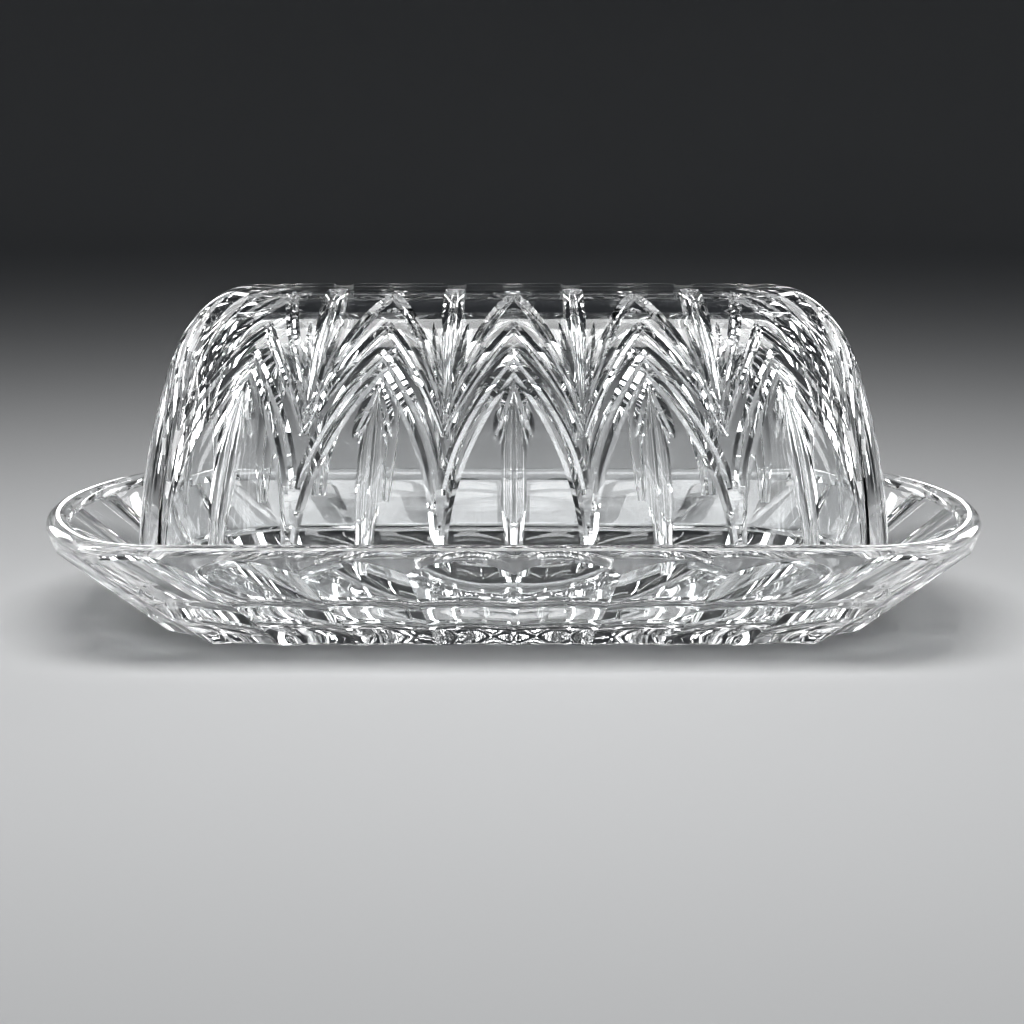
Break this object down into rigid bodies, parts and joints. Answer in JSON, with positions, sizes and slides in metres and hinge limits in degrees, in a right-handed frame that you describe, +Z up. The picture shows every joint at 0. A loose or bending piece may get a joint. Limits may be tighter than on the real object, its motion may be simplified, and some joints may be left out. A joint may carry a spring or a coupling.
{
  "type": "butter dish",
  "caption": "Covered butter dish in clear cut glass: a boat-shaped fluted dish and a lift-off domed cover with pointed-arch cuts.",
  "frame": {"origin": "centre of the flat foot, on the surface the dish stands on", "axes": "+Z up, +X along the dish, +Y across it towards the back"},
  "size_m": [0.2186, 0.118, 0.0771],
  "materials": {
    "crystal": "clear, cut and fire polished"
  },
  "bodies": {
    "dish": {"dish": "crystal"},
    "cover": {"cover": "crystal"}
  },
  "joints": [
    {"name": "cover_lift", "type": "slide", "parent": "dish", "child": "cover", "axis": [0, 0, 1], "range_m": [0, 0.1]}
  ]
}
